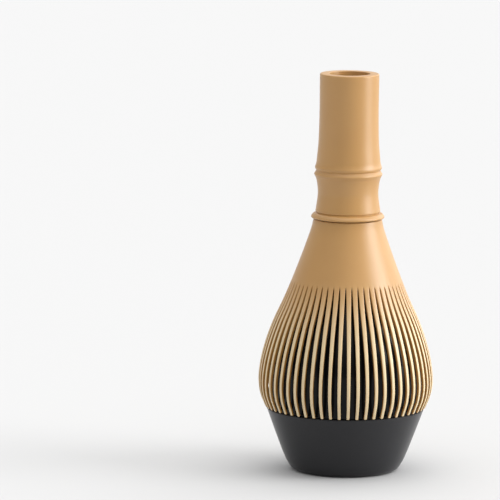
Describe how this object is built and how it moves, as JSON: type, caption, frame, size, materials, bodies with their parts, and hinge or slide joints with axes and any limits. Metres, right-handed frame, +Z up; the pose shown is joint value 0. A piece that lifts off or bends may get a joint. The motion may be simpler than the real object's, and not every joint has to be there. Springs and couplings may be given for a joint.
{
  "type": "tea whisk on a stand",
  "caption": "Moulded tea whisk in the shape of a split bamboo whisk: tube handle with a bamboo node, a cage of curved tines, and a dark dome-shaped stand that it lifts off.",
  "frame": {"origin": "centre of the stand's foot, in the plane that it stands on", "axes": "+Z up along the axis of the stand and the whisk; -Y is the front"},
  "size_m": [0.062, 0.0618, 0.1413],
  "materials": {
    "tan_resin": "moulded tan resin with a soft satin surface",
    "black_dome_resin": "smooth glossy black resin",
    "black_cup_resin": "moulded black resin with a satin surface"
  },
  "bodies": {
    "stand": {"stand_cup": "black_cup_resin", "stand_dome": "black_dome_resin"},
    "whisk": {"handle": "tan_resin", "outer_tines": "tan_resin", "inner_tines": "tan_resin"}
  },
  "joints": [
    {"name": "whisk_lift", "type": "slide", "parent": "stand", "child": "whisk", "axis": [0, 0, 1], "range_m": [0, 0.055]}
  ]
}
